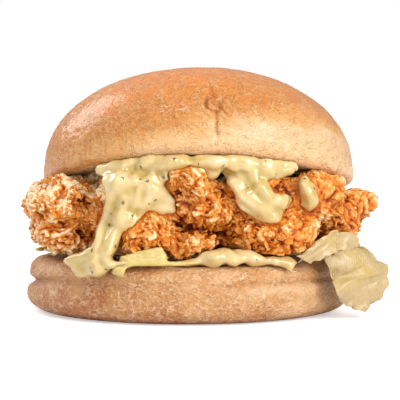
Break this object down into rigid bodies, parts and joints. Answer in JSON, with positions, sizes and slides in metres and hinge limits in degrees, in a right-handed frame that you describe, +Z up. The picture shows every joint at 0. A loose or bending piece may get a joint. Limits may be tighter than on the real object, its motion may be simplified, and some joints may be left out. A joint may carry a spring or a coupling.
{
  "type": "chicken burger",
  "caption": "Crispy chicken burger: a craggy fried fillet in a soft round bun, with herb mayonnaise running down its front, shredded lettuce and a hanging lettuce leaf",
  "frame": {"origin": "middle of the heel's flat underside", "axes": "+Z up through the layers, -Y towards the diner, who sees the sauce run down the front, and +X to the diner's right, where the leaf hangs out"},
  "size_m": [0.1274, 0.1142, 0.0863],
  "materials": {
    "crown_crust": "glossy baked crust",
    "heel_crust": "soft baked crust",
    "fried_crust": "rough fried batter",
    "herb_mayonnaise": "wet gloss",
    "lettuce": "moist leaf",
    "lettuce_leaf": "moist leaf"
  },
  "bodies": {
    "root": {"bun_crown": "crown_crust", "bun_heel": "heel_crust", "chicken_fillet": "fried_crust", "sauce_top": "herb_mayonnaise", "sauce_drop": "herb_mayonnaise", "sauce_spread": "herb_mayonnaise", "lettuce_shreds": "lettuce", "lettuce_leaf_outer": "lettuce_leaf", "lettuce_leaf_inner": "lettuce_leaf"}
  },
  "joints": []
}
